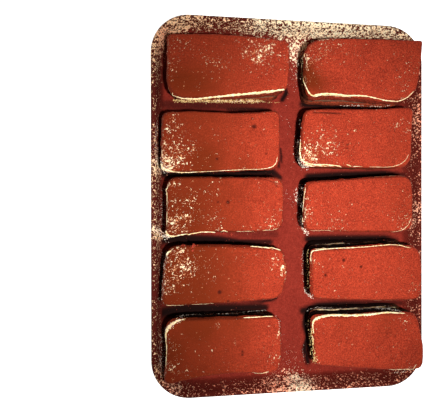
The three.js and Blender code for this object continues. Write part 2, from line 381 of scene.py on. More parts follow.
def make_tray_material():
    material, tree = new_material("cocoa dusted glaze", {"Specular IOR Level": 0.09})
    thin = vertex_number(tree, "thin_cocoa")
    sifted, grain = powder(tree, TRAY_COCOA_LIGHT, TRAY_COCOA_DARK, 240.0, hollow_shade=0.2)
    # Painted shadows in the gaps, and the wall's and rim's damp cocoa with painted shade, darken the
    # sifted cocoa.
    powdered = blend_colours(tree, vertex_number(tree, "damp_and_shade"), sifted, TRAY_COCOA_SHADE_DAMP)
    specks = fill_group(tree, BARE_SPECKS, {
        "Thinness": thin, "Speck Scale": 760.0, "Softness": 0.03, "Clumping": 0.15, "Scatter": 0.45,
    })
    bare = specks.outputs["Mask"]
    tinged = blend_colours(tree, vertex_number(tree, "golden"), GLAZE_PINK, GLAZE_GOLDEN)
    pale = vertex_number(tree, "pale")
    least = calculate(tree, "MULTIPLY_ADD", pale, -0.7, 0.7)
    share = calculate(tree, "MULTIPLY_ADD", pale, 0.25, 0.3)
    tinge = calculate(tree, "MULTIPLY_ADD", specks.outputs["Tinge"], share, least)
    glaze = blend_colours(tree, tinge, GLAZE_LIGHT, tinged)
    glaze = blend_colours(tree, vertex_number(tree, "clean"), glaze, GLAZE_CLEAN)
    # A dark ring round each bare speck: thicker cocoa and painted shade.
    shaded = calculate(tree, "MULTIPLY", specks.outputs["Shade Ring"], between(tree, thin, 0.9, 0.4, 0.1, 0.5))
    cocoa = blend_colours(tree, shaded, powdered, TRAY_COCOA_SHADE_DAMP)
    colour = blend_colours(tree, bare, cocoa, glaze)
    rough = calculate(tree, "MULTIPLY_ADD", bare, -0.55, 0.92)
    height = calculate(tree, "MULTIPLY", grain, calculate(tree, "SUBTRACT", 1.0, bare))
    join_finish(tree, colour, height, 0.6, 0.0004, rough)
    return material


# Where the cocoa on the tray is thin, as pixels of the photograph with a radius in millimetres
# and a strength. The first number of each spread says how high on the tray it lies.
TRAY_THIN_SPREADS = [
    (22, 285, 26, 40, 0.5), (22, 345, 30, 40, 0.5), (22, 400, 34, 18, 0.35), (18, 310, 38, 26, 0.25),
    (14, 297, 46, 10, 0.45), (22, 190, 18, 30, 0.25), (22, 160, 36, 16, 0.3), (22, 154, 75, 18, 0.1),
    (22, 158, 162, 9, 0.35), (22, 158, 232, 9, 0.4), (22, 160, 374, 9, 0.35), (22, 172, 388, 9, 0.35),
    (22, 153, 118, 34, -0.14), (22, 153, 285, 44, -0.14),
    (22, 290, 388, 26, 0.45), (22, 302, 389, 10, 0.5), (22, 375, 386, 26, 0.15),
    (14, 275, 384, 12, 0.3), (14, 312, 380, 14, 0.25), (22, 408, 376, 9, 0.2),
    (4, 298, 62, 4, 0.45), (4, 299, 78, 4, 0.45), (4, 297, 148, 4, 0.5), (4, 299, 202, 4, 0.5),
    (4, 300, 226, 4, 0.5), (4, 302, 292, 3, 0.5), (8, 290, 375, 9, 0.4), (4, 292, 350, 12, 0.2),
    (20, 416, 122, 24, 0.4), (20, 416, 215, 16, 0.45), (22, 419, 280, 20, 0.15),
    (22, 163, 34, 22, 0.38), (22, 178, 24, 20, 0.2), (22, 300, 26, 50, 0.3), (22, 380, 30, 30, 0.3),
    (14, 185, 30, 12, 0.2), (14, 215, 31, 14, 0.1), (14, 250, 33, 14, 0.2), (14, 330, 38, 16, 0.2),
    (14, 365, 38, 16, 0.15), (14, 395, 38, 12, 0.1), (14, 158, 60, 14, 0.1), (14, 158, 140, 16, 0.1),
    (14, 157, 170, 8, 0.5), (14, 157, 236, 8, 0.5), (14, 157, 200, 14, 0.08), (14, 158, 270, 20, 0.08),
    (14, 158, 340, 24, 0.1), (14, 172, 382, 12, 0.3), (14, 230, 388, 24, 0.1), (14, 350, 380, 20, 0.25),
]

# Where the specks are pale in place of golden or pink.
TRAY_PALE_SPREADS = [
    (22, 268, 22, 22, 0.9), (22, 310, 26, 36, 0.9), (22, 360, 28, 36, 0.8), (22, 400, 33, 16, 0.6),
    (10, 294, 46, 16, 0.8), (22, 302, 388, 13, 1.2), (22, 158, 166, 8, 0.5), (22, 156, 232, 8, 0.5),
    (22, 180, 388, 12, 0.4), (20, 418, 214, 10, 0.4),
]

# The outside is bare where it faces down. Lumps, each an amount, a size and a seed, make the
# edge of the cocoa ragged there.
CLEAN_EDGE = [(0.25, 9.0, 51), (0.2, 3.0, 52)]
CLEAN_FADE = 0.4
CLEAN_THINNESS = 2.2

# How thin the cocoa is on each part of the tray, before the spreads.
FLOOR_THINNESS = -0.35
WALL_THINNESS = 0.25
RIM_THINNESS = 0.34
MOST_THINNESS = 1.2
SOUTH_RIM_LOSS = 0.04
SOUTH_END = -150
WALL_SHARE = 0.35

# Past these two lines, to the north and to the west, the specks are golden in place of pink.
GOLDEN_NORTH = 150
GOLDEN_WEST = -114
GOLDEN_FADE = 12

# How dark the cocoa on the wall and the rim is, partly damp thick cocoa and partly painted shade, and
# where painted shadows darken the floor in the gaps between the portions: paths of pixels at the
# tray's floor, each with a width in millimetres and a strength.
WALL_FOOT = 4
WALL_SHADE_DAMP = 0.35
RIM_SHADE_DAMP = 0.6
TRAY_SHADOW_PATHS = [
    [(166, 105, 5, 0.65), (200, 106, 5, 0.78), (240, 106, 5, 0.72), (268, 105, 5, 0.5)],
    [(222, 109, 1, 0.6), (230, 110, 2, 1), (262, 109.6, 2, 1), (269, 109, 1, 0.6)],
    [(304, 104, 5, 1), (330, 106, 5, 1), (365, 107, 5, 1), (392, 106, 4, 1), (400, 103, 3, 0.5)],
    [(285, 88, 2, 0.9), (286.5, 93, 2.5, 1), (282, 100, 2.5, 1)],
    [(280.5, 148, 1, 0.8), (281.3, 158, 1.5, 1), (278, 167, 1.5, 1)],
    [(228, 303.6, 1, 0.7), (262, 302, 1.6, 1), (276, 298.5, 1.6, 1)],
    [(230, 235, 4, 0.3), (275, 234, 4, 0.45)],
    [(165, 174, 5, 1), (190, 173.6, 4.5, 1), (225, 173, 4.5, 1), (272, 172.4, 4.5, 1), (281, 178, 2, 0.9)],
    [(308, 177, 4, 1), (340, 175, 4, 1), (385, 173, 3, 1), (401, 175, 3, 0.8)],
    [(166, 239, 7, 1), (190, 239, 6, 1), (218, 240, 5, 1), (240, 242, 3, 1), (270, 242, 3, 0.9)],
    [(308, 239, 4, 1), (340, 238.4, 4, 1), (385, 238, 3.4, 1), (396, 240, 3, 0.6)],
    [(166, 312, 7, 1), (184, 309, 7, 1), (225, 308.5, 6, 1), (265, 307.5, 4, 1)],
    [(303, 311, 4, 1), (318, 305.5, 4, 1), (345, 304, 4, 1), (400, 303, 3, 0.7)],
    [(304.5, 250, 2, 1), (305, 270, 2, 1), (306, 288, 2, 1)],
    [(306, 311, 3, 1), (304.5, 324, 3, 1), (307, 337, 2, 1), (304.5, 349, 3, 1), (308, 362, 3, 1)],
    [(300, 120, 1.5, 0.9), (299, 136, 1.5, 0.8)],
    [(301, 62, 1, 0.4), (301, 72, 1.6, 0.8), (303, 90, 2, 0.9), (306, 101, 2, 0.9)],
]


LUMP_NUMBERS = 4096
LUMP_SHIFT = 512
LUMP_PRIMES = np.array([73856093, 19349663, 83492791])


def lumps(points, size, seed):
    """A smooth random number from -1 to 1 at each point, with lumps of about the given size."""
    table = np.random.default_rng(seed).uniform(-1, 1, LUMP_NUMBERS)
    cell = points / size + LUMP_SHIFT
    low = np.floor(cell).astype(np.int64)
    part = cell - low
    part = part * part * (3 - 2 * part)
    total = np.zeros(len(points))
    for corner in np.ndindex(2, 2, 2):
        number = np.bitwise_xor.reduce((low + corner) * LUMP_PRIMES, axis=1)
        weight = np.prod(np.where(corner, part, 1 - part), axis=1)
        total += weight * table[number % LUMP_NUMBERS]
    return total


def nearness(points, centre, radius):
    """1 at the centre, falling softly to almost 0 at twice the radius, seen from above."""
    gap = np.linalg.norm(points[:, :2] - centre[:2], axis=1)
    return np.exp(-((gap / radius) ** 2))


def path_nearness(points, path, height):
    """The strength of a path of pixels at each vertex, falling off softly at its width."""
    strength = np.zeros(len(points))
    for (x0, y0, wide0, strong0), (x1, y1, wide1, strong1) in zip(path, path[1:]):
        start = seen_at(x0, y0, height)[:2]
        step = seen_at(x1, y1, height)[:2] - start
        share = np.clip(((points[:, :2] - start) @ step) / (step @ step), 0, 1)
        gap = np.linalg.norm(points[:, :2] - start - share[:, None] * step, axis=1)
        wide = wide0 + (wide1 - wide0) * share
        here = (strong0 + (strong1 - strong0) * share) * np.exp(-((gap / wide) ** 4))
        strength = np.maximum(strength, here)
    return strength


# Painted shade: the wall and rim darker, partly from damp thick cocoa, and painted shadows along the
# floor's paths.
def tray_shade_and_damp(points):
    height = points[:, 2]
    wall_foot = TRAY_FLOOR + WALL_FOOT
    damp_and_shade = np.interp(height, (TRAY_FLOOR, wall_foot, TRAY_RIM), (0, WALL_SHADE_DAMP, RIM_SHADE_DAMP))
    for path in TRAY_SHADOW_PATHS:
        damp_and_shade = np.maximum(damp_and_shade, path_nearness(points, path, TRAY_FLOOR) * (height < wall_foot))
    return np.clip(damp_and_shade, 0, 1)


def spread_sum(points, spreads):
    """Adds up round spreads, each a height, a pixel, a radius and a strength."""
    total = np.zeros(len(points))
    for height, pixel_x, pixel_y, radius, strength in spreads:
        total += strength * nearness(points, seen_at(pixel_x, pixel_y, height), radius)
    return total


def tray_thinness(points):
    height = points[:, 2]
    rim = np.clip((height - TRAY_FLOOR - 1) / (TRAY_RIM - TRAY_FLOOR - 1), 0, 1)
    thin = np.interp(rim, (0, WALL_SHARE, 1), (FLOOR_THINNESS, WALL_THINNESS, RIM_THINNESS))
    thin -= SOUTH_RIM_LOSS * rim * np.clip(points[:, 1] / SOUTH_END, 0, 1)
    return np.clip(thin + spread_sum(points, TRAY_THIN_SPREADS), FLOOR_THINNESS, MOST_THINNESS)


def tray_clean(points, facing):
    """1 where the tray faces down, so that no cocoa fell there, with a ragged edge."""
    ragged = sum(amount * lumps(points, size, seed) for amount, size, seed in CLEAN_EDGE)
    return np.clip((ragged - facing[:, 2]) / CLEAN_FADE, 0, 1)


tray = make_tray()
tray_points = places(tray)
clean = tray_clean(tray_points, normals(tray))
golden = np.maximum(tray_points[:, 1] - GOLDEN_NORTH, GOLDEN_WEST - tray_points[:, 0]) / GOLDEN_FADE
set_attribute(tray, "clean", clean)
set_attribute(tray, "thin_cocoa", tray_thinness(tray_points) + CLEAN_THINNESS * clean)
set_attribute(tray, "damp_and_shade", tray_shade_and_damp(tray_points))
set_attribute(tray, "pale", np.clip(spread_sum(tray_points, TRAY_PALE_SPREADS), 0, 1))
set_attribute(tray, "golden", np.clip(golden, 0, 1))
tray.data.materials.append(make_tray_material())
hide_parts("tray")
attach(tray, "root")


# Each portion's base is a layer of ladyfingers soaked in coffee, cut through with a knife. Its
# sides show a dark, damp and open crumb, with a little cocoa fallen on it; where they lie in
# shadow, painted shade makes them near black.
PORTIONS = [f"{column}_{row}" for column in ("left", "right") for row in range(1, 6)]
LAYER_SEEDS = {"base_biscuit": 100, "lower_cream": 300, "upper_biscuit": 500, "top_cream": 700}
SOLID_WELD = 0.005
SMOOTHING = 3
BISCUIT_VOXEL = 1.7
BASE_DUST = 0.7
BISCUIT_RELIEF = [(0.35, 4.0), (0.3, 1.8)]
BISCUIT_LIGHT = (0.36, 0.125, 0.046, 1)
BISCUIT_DARK = (0.11, 0.03, 0.011, 1)
# The colour of the painted shade in the biscuits' pores.
BISCUIT_PORE_SHADE = (0.03, 0.008, 0.004, 1)
BISCUIT_DUSTED = (0.55, 0.058, 0.027, 1)
BISCUIT_DUSTED_DARK = (0.15, 0.02, 0.009, 1)

# How much cocoa fell on the biscuits' sides. The eight values go round a portion: west, south-west,
# south, south-east, east, north-east, north and north-west.
SIDE_DUST = {
    "left_1": (0.2, 0.8, 1, 0.4, 0.2, 0.2, 0.2, 0.2),
    "right_1": (0.3, 0.3, 1, 0.8, 0.2, 0.2, 0.3, 0.6),
    "left_2": (0.3, 0.2, 0.3, 0.2, 0.2, 0.4, 0.9, 0.7),
    "right_2": (0, 0.2, 0.4, 0.4, 0.2, 0.2, 0.2, 0),
    "right_4": (0, 0, 0.2, 0.2, 0.2, 0.2, 0.5, 0.4),
    "right_5": (0.1, 0, 0.2, 0.2, 0.2, 0.1, 0, 0.2),
}
PLAIN_DUST = (0.1, 0.2, 0.3, 0.2, 0.2, 0.1, 0.1, 0.1)

# How dark the biscuits' sides are, in the same order: a little of it coffee, most of it painted
# shade where the sides lie in shadow.
SOAKED_AND_SHADED_SIDES = {
    "left_1": (0.7, 0.4, 0.1, 0.8, 0.5, 0.3, 0.2, 0.4),
    "left_2": (0.7, 0.9, 1, 1, 0.5, 0.3, 0.3, 0.4),
    "left_3": (0.8, 1, 0.9, 0.4, 0.2, 0.4, 1, 1),
    "left_4": (0.8, 0.8, 0.3, 0.2, 0.2, 0.4, 1, 1),
    "left_5": (0.8, 0.7, 0.2, 0.2, 0.2, 0.4, 1, 1),
    "right_1": (0.75, 0.85, 0.1, 0.1, 0.2, 0.2, 0.2, 0.2),
    "right_2": (1, 1, 0.45, 0.3, 0.2, 0.2, 0.4, 1),
}
PLAIN_SOAKED_AND_SHADED = (1, 0.85, 0.3, 0.2, 0.2, 0.4, 1, 1)
# Near black: coffee with painted shade, for the biscuits' sides that lie in shadow.
BISCUIT_SOAKED_SHADE = (0.006, 0.0016, 0.0011, 1)


def fine_copy(node, voxel):
    """A fine mesh of a solid, evenly divided and with its facets smoothed away."""
    name = f"{node}_fine"
    source = bpy.data.objects.new(name, frame["nodes"][node].data.copy())
    bpy.context.scene.collection.objects.link(source)
    source.data.materials.clear()
    weld(source, SOLID_WELD)
    remesh = source.modifiers.new("remesh", "REMESH")
    remesh.mode = "VOXEL"
    remesh.voxel_size = voxel * MM
    smooth = source.modifiers.new("smooth", "SMOOTH")
    smooth.factor = 0.5
    smooth.iterations = SMOOTHING
    shape = source.evaluated_get(bpy.context.evaluated_depsgraph_get())
    fine = bpy.data.meshes.new_from_object(shape)
    source.modifiers.clear()
    source.data = fine
    fine.name = name
    fine.shade_smooth()
    return source


def roughen(piece, relief, seed, share=1.0):
    """Moves the surface in and out by layers of lumps, each an amount and a size."""
    points = places(piece)
    out = sum(amount * lumps(points, size, seed + i) for i, (amount, size) in enumerate(relief))
    set_places(piece, points + normals(piece) * (out * share)[:, None])


def compass_share(directions, values):
    """Blends eight values round the compass, from the west, by each row's direction."""
    turn = (np.arctan2(directions[:, 1], directions[:, 0]) + math.pi) / (2 * math.pi) * len(values)
    return np.interp(turn, np.arange(len(values) + 1), list(values) + [values[0]])


def from_middle(points):
    """Each vertex's direction from the middle of its piece, in half lengths of the piece."""
    low, high = points.min(0), points.max(0)
    return (points - (low + high) / 2) / ((high - low) / 2)


def make_biscuit_material():
    material, tree = new_material("soaked biscuit", {"Specular IOR Level": 0.06})
    where = add_node(tree, "ShaderNodeTexCoord").outputs["Object"]
    crumb, relief = powder(tree, BISCUIT_LIGHT, BISCUIT_DARK, 240.0)
    pores = add_node(tree, "ShaderNodeTexVoronoi", {"Vector": where, "Scale": 420.0, "Randomness": 1.0})
    # Painted shade: the pores, sunk into the relief, are darkened.
    pore_shade = between(tree, pores.outputs["Distance"], 0.32, 0.16)
    colour = blend_colours(tree, pore_shade, crumb, BISCUIT_PORE_SHADE)
    dust = powder(tree, BISCUIT_DUSTED, BISCUIT_DUSTED_DARK, 300.0)[0]
    colour = blend_colours(tree, vertex_number(tree, "dusted"), colour, dust)
    colour = blend_colours(tree, vertex_number(tree, "soaked_and_shaded"), colour, BISCUIT_SOAKED_SHADE)
    height = calculate(tree, "SUBTRACT", relief, calculate(tree, "MULTIPLY", pore_shade, 2.0))
    join_finish(tree, colour, height, 0.8, 0.0007, calculate(tree, "MULTIPLY_ADD", pore_shade, -0.25, 0.82))
    return material


SOAKED_BISCUIT = make_biscuit_material()


def finish_layer(piece, node, material):
    piece.data.materials.append(material)
    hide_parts(node)
    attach(piece, "root")


def dust_sides(piece, portion, share):
    """Lays cocoa, coffee and painted shade on a biscuit layer's sides, by the way each side faces."""
    facing = normals(piece)
    dust = compass_share(facing, SIDE_DUST.get(portion, PLAIN_DUST)) * share
    set_attribute(piece, "dusted", np.clip(dust, 0, 1))
    set_attribute(piece, "soaked_and_shaded", compass_share(facing, SOAKED_AND_SHADED_SIDES.get(portion, PLAIN_SOAKED_AND_SHADED)))


def lay_biscuits(layer, dust):
    """Makes one layer of soaked biscuit for each portion."""
    for number, portion in enumerate(PORTIONS):
        node = f"{portion}_{layer}"
        biscuit = fine_copy(node, BISCUIT_VOXEL)
        dust_sides(biscuit, portion, dust)
        roughen(biscuit, BISCUIT_RELIEF, LAYER_SEEDS[layer] + 10 * number)
        finish_layer(biscuit, node, SOAKED_BISCUIT)


lay_biscuits("base_biscuit", BASE_DUST)


# The lower cream is a thin spread of mascarpone between the biscuits. It is pressed out a
# little at the sides, and coffee has stained it.
LOWER_CREAM_VOXEL = 1.3
LOWER_CREAM_RELIEF = [(0.5, 7.0), (0.3, 2.5)]
# Cocoa-dark cream, which also serves as painted shade on the shaded sides.
CREAM_DUSTED_SHADE = (0.10, 0.02, 0.010, 1)

# How much of the lower cream is hidden under cocoa and coffee, and darkened with painted shade
# where its sides lie in shadow, in the same order.
HIDDEN_SHADED_CREAM = {
    "left_1": (1, 1, 0.85, 1, 0.4, 0.3, 0.4, 0.8),
    "left_2": (1, 1, 1, 1, 0.4, 0.4, 1, 1),
    "right_1": (1, 1, 0.9, 0.7, 0.3, 0.3, 0.5, 1),
    "right_2": (1, 1, 1, 0.8, 0.3, 0.4, 1, 1),
    "right_4": (1, 1, 0.4, 0.3, 0.3, 0.5, 0.6, 0.8),
    "left_5": (1, 0.8, 0.3, 0.3, 0.3, 0.3, 0.1, 0.4),
    "right_5": (1, 0.8, 0.3, 0.3, 0.3, 0.2, 0.1, 0.3),
}
PLAIN_HIDDEN_SHADED = (1, 1, 0.6, 0.4, 0.3, 0.5, 0.9, 1)
CREAM_LIGHT = (1.0, 0.88, 0.56, 1)
CREAM_STAINED = (0.72, 0.38, 0.14, 1)


def make_cream_material():
    material, tree = new_material("mascarpone cream", {
        "Roughness": 0.55, "Specular IOR Level": 0.2, "Subsurface Weight": 0.15,
        "Subsurface Radius": (0.004, 0.002, 0.001), "Subsurface Scale": 0.5,
    })
    cream, relief = powder(tree, CREAM_LIGHT, CREAM_STAINED, 150.0, 700.0)
    # Cocoa, coffee and painted shade darken the cream on its sides.
    colour = blend_colours(tree, vertex_number(tree, "hidden_and_shaded"), cream, CREAM_DUSTED_SHADE)
    join_finish(tree, colour, relief, 0.4, 0.0004)
    return material


MASCARPONE = make_cream_material()

for number, portion in enumerate(PORTIONS):
    node = f"{portion}_lower_cream"
    lower = fine_copy(node, LOWER_CREAM_VOXEL)
    hidden_and_shaded = compass_share(normals(lower), HIDDEN_SHADED_CREAM.get(portion, PLAIN_HIDDEN_SHADED))
    set_attribute(lower, "hidden_and_shaded", hidden_and_shaded)
    roughen(lower, LOWER_CREAM_RELIEF, LAYER_SEEDS["lower_cream"] + 10 * number)
    finish_layer(lower, node, MASCARPONE)


# The upper biscuit is a second layer of soaked ladyfingers, a little thicker than the base. It lies
# on the lower cream and is cut with it. More of the sifted cocoa fell on its sides.
UPPER_DUST = 1.0

lay_biscuits("upper_biscuit", UPPER_DUST)


# The top cream is spread thick and soft over the biscuits and carries a velvety skin of sifted
# cocoa. At the cut edges the cocoa stops short and bare cream shows as a thin bright line.
TOP_VOXEL = 0.85
TOP_RELIEF = [(0.25, 11.0), (0.2, 4.5), (0.12, 2.0)]
SIDE_RELIEF = [(0.45, 6.0), (0.25, 2.4)]
COCOA_LIGHT = (0.49, 0.053, 0.021, 1)
COCOA_DARK = (0.19, 0.0155, 0.0065, 1)
# The colour of the painted shade in holes and cracks.
PIT_SHADOW = (0.05, 0.006, 0.003, 1)
PIT_SHADE, PIT_SHALLOW, PIT_DARKEST = 1.3, 0.25, 0.9
# A browner, darker cocoa for painted shade and damp cocoa on the tops.
COCOA_SHADE_BROWN = (0.15, 0.0175, 0.0032, 1)
# The colour of the ring round each bare speck on the tops: thicker cocoa and painted shade.
COCOA_SPECK_SHADE = (0.09, 0.01, 0.006, 1)
SPECK_LIGHT = (1.0, 0.86, 0.56, 1)
SPECK_TINGED = (0.85, 0.36, 0.16, 1)
TOP_HEIGHT = 40
LIP_DROP = 2.6
LIP_WIDTH = 1.5
OUTLINE_STEP = 1.5
BARE_RAGGEDNESS = (0.5, 2.2)
BARE_FADE = 0.7

# How far down the side the cocoa reaches before bare cream shows, in millimetres from the lip,
# in the same order. At 20 the cocoa covers the whole side.
COCOA_REACH = {
    **dict.fromkeys(("left_1", "left_2", "left_3"), (4, 4, 20, 20, 3, 3, 3, 4)),
    **dict.fromkeys(("left_4", "left_5"), (4, 4, 3, 3, 3, 20, 20, 20)),
    **dict.fromkeys(("right_1", "right_2", "right_3"), (20, 20, 20, 20, 3, 3, 3, 20)),
    **dict.fromkeys(("right_4", "right_5"), (20, 20, 3, 3, 3, 20, 20, 20)),
}

# Where the cocoa is so thin that cream shows through it in specks: pixels of the photograph,
# a radius in millimetres and a strength.
THIN_COCOA = {
    "left_1": [(259, 50, 14, 0.36), (252, 58, 10, 0.16), (280, 58, 10, 0.2), (268, 40, 8, 0.2),
               (214, 62, 10, 0.22), (168, 45, 10, 0.26), (172, 66, 8, 0.22), (188, 46, 16, 0.1)],
    "left_2": [(164, 158, 12, 0.42), (180, 157, 14, 0.24), (196, 149, 4, 0.3), (168, 124, 12, 0.24),
               (178, 140, 16, 0.12)],
    "left_3": [(172, 226, 14, 0.34), (184, 208, 18, 0.22), (216, 221, 10, 0.2), (216, 191, 5, 0.2),
               (272, 222, 10, 0.32), (171, 183, 8, 0.2), (196, 194, 16, 0.1), (277, 182, 5, 0.25)],
    "left_4": [(172, 269, 12, 0.38), (190, 265, 13, 0.24), (170, 288, 9, 0.26), (206, 270, 16, 0.14),
               (274, 262, 10, 0.3), (283, 272, 7, 0.24), (174, 250, 9, 0.3), (250, 252, 10, 0.1)],
    "left_5": [(170, 345, 7, 0.28), (172, 368, 9, 0.3), (186, 376, 9, 0.16), (218, 325, 3, 0.3),
               (234, 342, 1.5, 0.4), (273, 358, 9, 0.24), (279, 335, 6, 0.26)],
    "right_1": [(315, 54, 12, 0.3), (330, 44, 10, 0.25), (306, 68, 7, 0.3), (309, 80, 6, 0.24),
                (352, 42, 14, 0.14), (402, 84, 9, 0.24), (412, 66, 8, 0.2)],
    "right_2": [(312, 150, 14, 0.32), (326, 141, 12, 0.2), (308, 160, 9, 0.3), (355, 131, 1.6, 0.4),
                (404, 126, 10, 0.3), (340, 152, 14, 0.14)],
    "right_3": [(306, 214, 8, 0.32), (308, 196, 8, 0.2), (335, 227, 12, 0.24), (405, 221, 10, 0.32),
                (345, 208, 5, 0.14), (406, 196, 6, 0.16)],
    "right_4": [(417, 288, 6, 0.3), (313, 262, 6, 0.24), (404, 262, 10, 0.1)],
    "right_5": [(405, 322, 7, 0.22), (410, 372, 9, 0.32), (317, 360, 5, 0.2), (392, 378, 8, 0.24)],
}
THIN_EVERYWHERE = 0.3
THIN_SHARE = 0.95
THIN_EDGE = 0.12
THIN_EDGE_WIDTH = 2.0
THIN_SIDE_SHARE = 0.4

# Small holes in the cocoa, painted dark inside with painted shade: pixels of the photograph, a
# radius and a depth in millimetres.
PITS = {
    "left_1": [(261, 76, 1.1, 0.7), (178, 77, 0.8, 0.5)],
    "left_2": [(252, 118, 1.1, 0.9), (254, 126.5, 2.0, 1.3), (217, 159, 1.1, 1.3), (266, 153.6, 1, 0.9),
               (226, 137, 0.7, 0.5)],
    "left_3": [(228, 202, 1.4, 1.5), (218, 202, 1, 1), (225, 216, 0.7, 0.6), (247, 194, 0.7, 0.5)],
    "left_4": [(219.5, 292, 1.6, 1.5), (239, 281, 1, 0.8), (228, 301, 1.1, 1), (200, 283, 0.7, 0.5)],
    "left_5": [(242.3, 351.5, 1, 1.3), (242.3, 354.5, 1, 1.3), (199, 340, 0.7, 0.6), (268, 358, 1, 0.8)],
    "right_1": [(380, 68.5, 0.9, 0.8), (369, 60, 0.6, 0.5), (345, 76, 0.6, 0.4)],
    "right_2": [(347.5, 144.5, 0.9, 1.1), (347.5, 148, 0.9, 1.1), (324, 121, 0.8, 0.7),
                (331, 112, 0.7, 0.6), (372, 119, 0.7, 0.6), (354, 112, 0.7, 0.6)],
    "right_3": [(360, 190, 0.7, 0.6), (383, 203, 0.6, 0.5)],
    "right_4": [(343.5, 260, 1.4, 1.6), (360.5, 266.5, 1.3, 1.3), (325.3, 275, 1.3, 1.3),
                (395, 278, 0.6, 0.5)],
    "right_5": [(395, 336, 1.1, 0.8), (341, 336, 0.8, 0.5), (366, 352, 0.6, 0.4)],
}

# Cracks and small steps in the tops, painted dark with shade like the holes: paths of pixels
# with a width and a depth in millimetres.
CREASES = {
    "left_3": [[(258, 178.5, 0.6, 0.4), (266, 179.5, 0.7, 0.6), (273, 182, 0.7, 0.7),
                (278, 186.5, 0.6, 0.5)],
               [(275, 181, 0.5, 0.4), (280, 184.5, 0.7, 0.6), (281.6, 190, 0.5, 0.4)],
               [(221, 233, 1, 1), (223.5, 232.6, 1.1, 1.2), (226, 233.4, 1, 1)]],
    "left_4": [[(182, 250, 0.6, 0.3), (186, 246, 0.8, 0.6), (189, 249, 0.6, 0.4)]],
    "left_5": [[(226, 375, 1, 0.7), (236, 375.2, 1, 0.8), (246, 374, 1, 0.8)]],
    "right_2": [[(313, 112, 0.7, 0.7), (322, 112.2, 0.8, 0.9), (334, 112.8, 0.8, 0.9),
                 (346, 113.4, 0.6, 0.5)]],
    "right_4": [[(386, 249, 0.5, 0.4), (390, 254, 0.5, 0.4)]],
}

# Where the cocoa on the tops is painted darker: mostly painted shade where a top curves down
# away from the lamp, and partly thick, damp cocoa.
SHADED_DAMP_COCOA = {
    "left_1": [(178, 82, 16, 0.5), (205, 86, 18, 0.35), (230, 60, 34, 0.2)],
    "left_2": [(205, 162, 14, 0.4), (245, 166, 10, 0.25)],
    "left_3": [(180, 220, 16, 0.3)],
    "left_4": [(180, 290, 14, 0.35)],
    "left_5": [(200, 322, 14, 0.5), (240, 322, 14, 0.35), (172, 350, 10, 0.3)],
    "right_1": [(309, 80, 10, 0.9), (306, 66, 7, 0.8), (320, 86, 12, 0.5)],
    "right_2": [(316, 156, 8, 0.3), (395, 155, 12, 0.2)],
    "right_3": [(402, 204, 18, 0.18)],
    "right_4": [(340, 270, 30, 0.08)],
    "right_5": [(345, 322, 16, 0.3), (385, 322, 14, 0.35)],
}

# The left-hand tops turn browner and darker toward the west, past an edge and over a width in
# millimetres: half of it a browner cocoa, half of it a painted soft shadow.
LEFT_BROWN_SHADE = {"left_1": 0.45, "left_2": 0.75, "left_3": 0.9, "left_4": 1.0, "left_5": 0.8}
LEFT_SHADE_EDGE = -50
LEFT_SHADE_WIDTH = 86


def edge_profile(points):
    """How far inside the portion's own outline each vertex lies, seen from above."""
    inside = np.full(len(points), np.inf)
    for along, across in ((0, 1), (1, 0)):
        low = points[:, along].min()
        strip = ((points[:, along] - low) / OUTLINE_STEP).astype(int)
        strips = strip.max() + 1
        highest = np.full(strips, -np.inf)
        lowest = np.full(strips, np.inf)
        np.maximum.at(highest, strip, points[:, across])
        np.minimum.at(lowest, strip, points[:, across])
        centres = low + (np.arange(strips) + 0.5) * OUTLINE_STEP
        far = np.interp(points[:, along], centres, highest)
        near = np.interp(points[:, along], centres, lowest)
        inside = np.minimum(inside, np.minimum(far - points[:, across], points[:, across] - near))
    return inside


def top_sum(points, spreads):
    return spread_sum(points, [(TOP_HEIGHT, *spread) for spread in spreads])


def make_top_material():
    material, tree = new_material("sifted cocoa on cream", {"Specular IOR Level": 0.09})
    cocoa, grain = powder(tree, COCOA_LIGHT, COCOA_DARK, 640.0, 1150.0, 0.6)
    # Painted shade and damp cocoa make the cocoa browner and darker.
    cocoa = blend_colours(tree, vertex_number(tree, "damp_and_shade"), cocoa, COCOA_SHADE_BROWN)
    # Painted shade in the holes and cracks.
    cocoa = blend_colours(tree, vertex_number(tree, "shaded_pits"), cocoa, PIT_SHADOW)
    cream = powder(tree, CREAM_LIGHT, CREAM_STAINED, 170.0, hollow_shade=0.0)[0]
    thin = vertex_number(tree, "thin_cocoa")
    specks = fill_group(tree, BARE_SPECKS, {
        "Thinness": calculate(tree, "MULTIPLY", thin, 0.85), "Speck Scale": 980.0, "Softness": 0.06,
    })
    flakes = fill_group(tree, BARE_SPECKS, {
        "Thinness": calculate(tree, "MULTIPLY_ADD", thin, 1.25, -0.16), "Speck Scale": 540.0,
        "Softness": 0.04,
    })
    # Painted shade, with thicker cocoa: a dark ring round each bare speck and flake.
    edge = calculate(tree, "MAXIMUM", specks.outputs["Shade Ring"], flakes.outputs["Shade Ring"])
    cocoa = blend_colours(tree, calculate(tree, "MULTIPLY", edge, 0.5), cocoa, COCOA_SPECK_SHADE)
    spotted = blend_colours(tree, specks.outputs["Mask"], cocoa, SPECK_TINGED)
    tinge = calculate(tree, "MULTIPLY", flakes.outputs["Tinge"], 0.6)
    speck = blend_colours(tree, tinge, SPECK_LIGHT, SPECK_TINGED)
    side = vertex_number(tree, "bare_cream")
    colour = blend_colours(tree, flakes.outputs["Mask"], spotted, speck)
    colour = blend_colours(tree, side, colour, cream)
    bare = calculate(tree, "MAXIMUM", specks.outputs["Mask"], flakes.outputs["Mask"])
    bare = calculate(tree, "MAXIMUM", bare, side)
    height = calculate(tree, "MULTIPLY_ADD", bare, -0.6, grain)
    join_finish(tree, colour, height, 0.7, 0.0005, calculate(tree, "MULTIPLY_ADD", bare, -0.4, 0.95))
    return material


SIFTED_COCOA = make_top_material()

